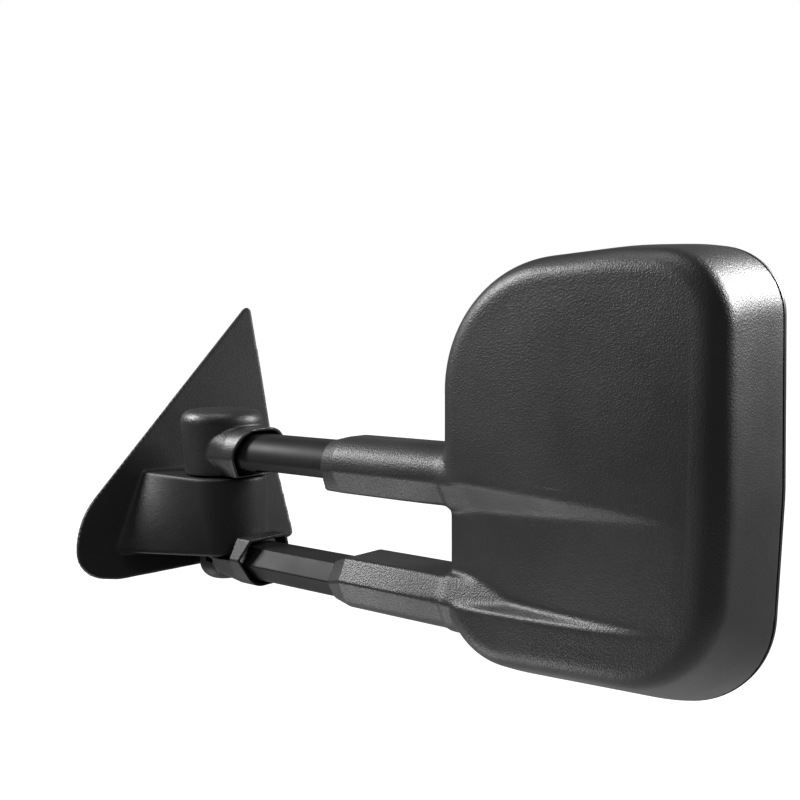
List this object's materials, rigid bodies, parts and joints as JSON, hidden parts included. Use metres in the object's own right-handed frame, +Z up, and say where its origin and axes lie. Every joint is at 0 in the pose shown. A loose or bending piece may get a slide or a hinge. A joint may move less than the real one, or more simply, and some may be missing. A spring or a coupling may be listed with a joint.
{
  "type": "towing mirror",
  "caption": "Manual telescoping door mirror for towing: triangular door base, folding double arm, and a tall housing with a flat glass above a convex spotter glass.",
  "frame": {"origin": "on the plane of the door skin, level with the middle of the two arms and in line with the upright fold axis", "axes": "+X outboard, along the mounting studs and away from the door; +Y rearward, the side that the glasses face; +Z up"},
  "size_m": [0.62, 0.3405, 0.3349],
  "materials": {
    "textured_plastic": "fine leather-like grain, satin black",
    "bezel_plastic": "smoother satin black",
    "cast_alloy": "as cast",
    "gasket_rubber": "soft matt",
    "zinc_steel": "bright zinc",
    "bush_bronze": "sintered",
    "nylon": "glass-filled nylon",
    "mirror_glass": "silvered glass"
  },
  "bodies": {
    "base": {"base_cover": "textured_plastic", "base_bracket": "cast_alloy", "door_gasket": "gasket_rubber", "mounting_studs": "zinc_steel", "cover_screws": "zinc_steel", "upper_pivot_bush": "bush_bronze", "lower_pivot_bush": "bush_bronze"},
    "arms": {"pivot_shaft": "zinc_steel", "pivot_nut": "zinc_steel", "fold_spring": "zinc_steel", "spring_washer": "zinc_steel", "upper_friction_washer": "nylon", "lower_friction_washer": "nylon", "upper_swivel_cap": "textured_plastic", "lower_swivel_hub": "textured_plastic", "upper_arm": "textured_plastic", "lower_arm": "textured_plastic", "upper_arm_plug": "nylon", "lower_arm_plug": "nylon"},
    "head": {"back_housing": "textured_plastic", "front_bezel": "bezel_plastic", "upper_sleeve": "textured_plastic", "lower_sleeve": "textured_plastic", "upper_sleeve_liner": "nylon", "lower_sleeve_liner": "nylon", "mirror_frame": "nylon", "frame_screws": "zinc_steel", "upper_pivot_post": "nylon", "lower_pivot_post": "nylon"},
    "upper_ring": {"upper_pivot_ring": "nylon"},
    "upper_mirror": {"upper_glass_holder": "bezel_plastic", "upper_glass": "mirror_glass"},
    "lower_ring": {"lower_pivot_ring": "nylon"},
    "lower_mirror": {"lower_glass_holder": "bezel_plastic", "spotter_glass": "mirror_glass"}
  },
  "joints": [
    {"name": "fold", "type": "hinge", "parent": "base", "child": "arms", "pos_m": [0.0615, 0, 0], "axis": [0, 0, 1], "range_deg": [-60, 55]},
    {"name": "telescope", "type": "slide", "parent": "arms", "child": "head", "axis": [0.9511, 0.309, 0], "range_m": [-0.094, 0]},
    {"name": "upper_glass_tilt", "type": "hinge", "parent": "head", "child": "upper_ring", "pos_m": [0.42506, 0.16255, 0.098], "axis": [0.9511, 0.309, 0], "range_deg": [-6, 6]},
    {"name": "upper_glass_pan", "type": "hinge", "parent": "upper_ring", "child": "upper_mirror", "pos_m": [0.42506, 0.16255, 0.098], "axis": [0, 0, 1], "range_deg": [-6, 6]},
    {"name": "lower_glass_tilt", "type": "hinge", "parent": "head", "child": "lower_ring", "pos_m": [0.42506, 0.16255, -0.064], "axis": [0.9511, 0.309, 0], "range_deg": [-6, 6]},
    {"name": "lower_glass_pan", "type": "hinge", "parent": "lower_ring", "child": "lower_mirror", "pos_m": [0.42506, 0.16255, -0.064], "axis": [0, 0, 1], "range_deg": [-6, 6]}
  ]
}
